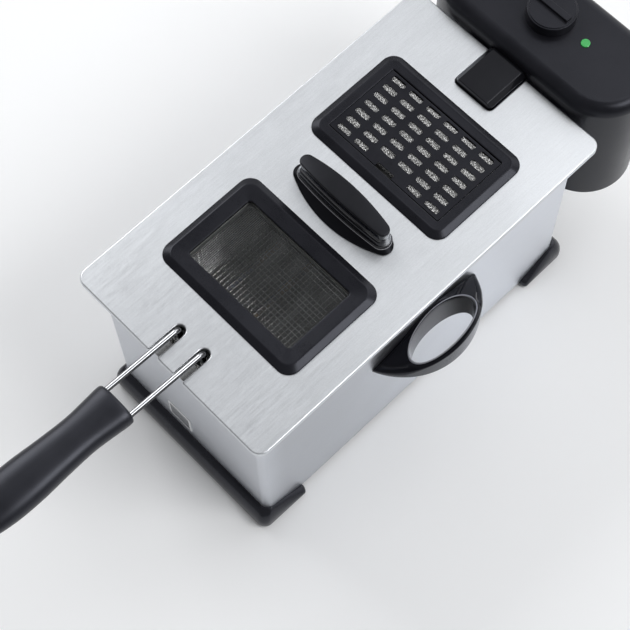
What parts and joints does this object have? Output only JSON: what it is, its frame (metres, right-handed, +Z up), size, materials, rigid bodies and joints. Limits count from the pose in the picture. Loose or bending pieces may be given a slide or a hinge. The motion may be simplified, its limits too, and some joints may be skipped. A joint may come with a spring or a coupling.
{
  "type": "deep fryer",
  "caption": "Rectangular steel deep fryer with lift-off windowed lid, filter grille, wire basket with plug-in handle, removable oil pot and lift-off rear control unit.",
  "frame": {"origin": "centre of the bounding box on the floor plane, under the rubber pads", "axes": "+X to the right seen from the front, +Y from the front with the basket handle to the rear control unit, +Z up"},
  "size_m": [0.2632, 0.6552, 0.2503],
  "materials": {
    "brushed_steel": "brushed",
    "plain_steel": "satin",
    "pot_steel": "satin",
    "chrome_wire": "polished",
    "black_plastic": "satin",
    "housing_plastic": "satin",
    "gloss_black": "gloss",
    "soft_touch": "soft touch",
    "dark_plastic": "matt",
    "rubber": "matt",
    "seal_rubber": "matt",
    "zinc_screw": "plated",
    "name_plate": "satin",
    "element_tube": "satin",
    "clear_glass": "clear",
    "charcoal": "foam",
    "mesh_metal": "knitted wire",
    "red_lens": "clear tint",
    "green_lens": "clear tint"
  },
  "bodies": {
    "casing": {"casing": "brushed_steel", "base_plate": "dark_plastic", "front_foot": "black_plastic", "rear_foot": "black_plastic", "foot_pads": "rubber", "base_screws": "zinc_screw", "right_handle": "black_plastic", "left_handle": "black_plastic", "casing_screws": "zinc_screw", "name_plate": "name_plate", "guide_rails": "dark_plastic"},
    "pot": {"oil_pot": "pot_steel"},
    "control_unit": {"control_housing": "housing_plastic", "control_back": "housing_plastic", "control_base": "housing_plastic", "control_screws": "zinc_screw", "control_bridge": "gloss_black", "element_bracket": "plain_steel", "heating_element": "element_tube", "thermostat_bulb": "zinc_screw", "thermostat_body": "dark_plastic", "terminal_block": "dark_plastic", "safety_switch": "dark_plastic", "thermal_cutout": "zinc_screw", "power_lamp": "red_lens", "heat_lamp": "green_lens", "cord_gland": "housing_plastic"},
    "dial": {"thermostat_dial": "housing_plastic"},
    "reset_button": {"reset_button": "red_lens"},
    "basket": {"basket_frame": "chrome_wire", "basket_mesh": "chrome_wire", "handle_sockets": "plain_steel"},
    "basket_handle": {"handle_wires": "chrome_wire", "handle_grip": "soft_touch"},
    "lid": {"lid_skin": "brushed_steel", "lid_liner": "plain_steel", "window_frame": "black_plastic", "window_seal": "seal_rubber", "window_glass": "clear_glass", "window_clamp": "plain_steel", "lid_handle": "black_plastic", "lid_handle_cap": "black_plastic", "lid_handle_screws": "zinc_screw", "filter_frame": "black_plastic", "filter_clamp": "plain_steel", "charcoal_filter": "charcoal", "mesh_filter": "mesh_metal", "lid_screws": "zinc_screw"},
    "filter_cover": {"filter_cover": "black_plastic"}
  },
  "joints": [
    {"name": "pot_lift", "type": "slide", "parent": "casing", "child": "pot", "axis": [0, 0, 1], "range_m": [0, 0.18]},
    {"name": "control_unit_lift", "type": "slide", "parent": "pot", "child": "control_unit", "axis": [0, 0, 1], "range_m": [0, 0.16]},
    {"name": "basket_lift", "type": "slide", "parent": "control_unit", "child": "basket", "axis": [0, 0, 1], "range_m": [0, 0.12]},
    {"name": "lid_lift", "type": "slide", "parent": "basket", "child": "lid", "axis": [0, 0, 1], "range_m": [0, 0.1]},
    {"name": "basket_handle_pull", "type": "slide", "parent": "basket", "child": "basket_handle", "axis": [0, 0, 1], "range_m": [0, 0.048]},
    {"name": "filter_cover_hinge", "type": "hinge", "parent": "lid", "child": "filter_cover", "pos_m": [0, 0.16493, 0.2181], "axis": [-1, 0, 0], "range_deg": [0, 90]},
    {"name": "dial_turn", "type": "hinge", "parent": "control_unit", "child": "dial", "pos_m": [0, 0.28763, 0.236], "axis": [0, 0, -1], "range_deg": [0, 270]},
    {"name": "reset_press", "type": "slide", "parent": "control_unit", "child": "reset_button", "axis": [0, -1, 0], "range_m": [0, 0.002], "stiffness_N_per_m": 400, "springref_m": -0.002}
  ]
}
